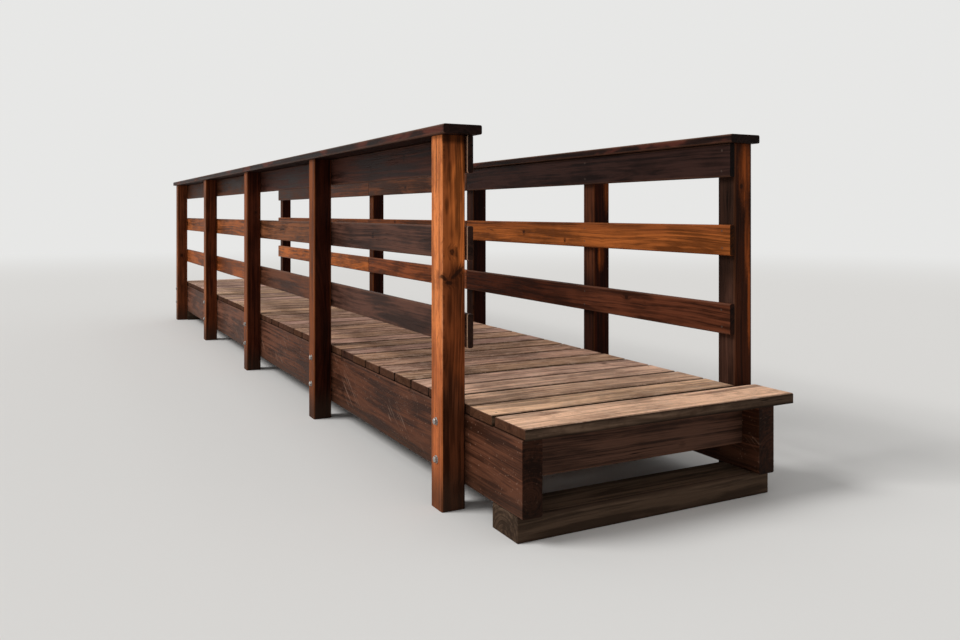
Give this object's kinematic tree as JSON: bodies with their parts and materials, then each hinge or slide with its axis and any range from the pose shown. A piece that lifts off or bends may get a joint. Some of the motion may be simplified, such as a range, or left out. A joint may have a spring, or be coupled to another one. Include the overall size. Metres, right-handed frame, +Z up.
{
  "type": "wooden footbridge",
  "caption": "Short timber footbridge with a deck of cross boards on two stringers, square posts bolted outside them, and board railings with a flat cap on both sides",
  "frame": {"origin": "bottom centre of the whole bridge's bounding box, on the level the sill beams and the posts' feet rest on", "axes": "+X along the bridge toward the end with the long threshold board, +Y across it toward the back railing with the uneven post spacing, +Z up"},
  "size_m": [8.646, 1.562, 1.625],
  "materials": {
    "sill_timber": "rough weathered timber",
    "stringer_timber": "dark red-brown stain, worn",
    "deck_timber": "bare weathered boards with open grain",
    "post_timber": "orange-brown stain with dark knots",
    "rail_timber": "dark brown stain, satin",
    "light_rail_timber": "orange-brown stain, satin",
    "cap_timber": "dark brown stain, satin"
  },
  "bodies": {
    "root": {"sill_near": "sill_timber", "sill_far": "sill_timber", "stringer_front": "stringer_timber", "stringer_back": "stringer_timber", "cross_beam_near": "stringer_timber", "cross_beam_middle": "stringer_timber", "cross_beam_far": "stringer_timber", "deck_boards": "deck_timber", "threshold_board": "deck_timber", "front_post_1": "post_timber", "front_post_2": "post_timber", "front_post_3": "post_timber", "front_post_4": "post_timber", "front_post_5": "post_timber", "back_post_1": "post_timber", "back_post_2": "post_timber", "back_post_3": "post_timber", "back_post_4": "post_timber", "back_post_5": "post_timber", "back_post_6": "post_timber", "front_low_rail": "rail_timber", "front_mid_rail": "rail_timber", "front_top_rail": "rail_timber", "front_cap": "cap_timber", "back_low_rail": "rail_timber", "back_mid_rail": "light_rail_timber", "back_top_rail": "rail_timber", "back_cap": "cap_timber"}
  },
  "joints": []
}
